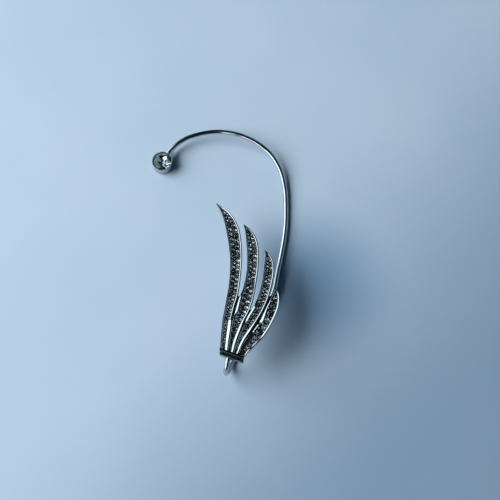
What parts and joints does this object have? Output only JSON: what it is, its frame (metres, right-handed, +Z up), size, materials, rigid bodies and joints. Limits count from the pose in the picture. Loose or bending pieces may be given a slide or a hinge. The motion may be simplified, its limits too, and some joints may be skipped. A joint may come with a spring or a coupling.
{
  "type": "ear cuff",
  "caption": "Ear cuff: a sprung wire hook for the ear, a cast wing of rimmed feathers set with small stones in front of it, and a round crystal in a cup at the wire's end.",
  "frame": {"origin": "on the table, under the middle of the cuff's outline", "axes": "+Z up from the table, +Y from the bend under the ear lobe to the top of the hook, +X from the end cup's side to the wire that goes behind the ear"},
  "size_m": [0.0349, 0.0648, 0.0104],
  "materials": {
    "wing_metal": "polished rhodium plate over a zinc casting, darkened in the grooves",
    "wire_metal": "polished rhodium plate over brass wire",
    "cup_metal": "polished rhodium plate",
    "crystal": "clear cut glass with a foiled back"
  },
  "bodies": {
    "root": {"wing": "wing_metal", "ear_wire": "wire_metal", "end_cup": "cup_metal", "end_crystal": "crystal"}
  },
  "joints": []
}
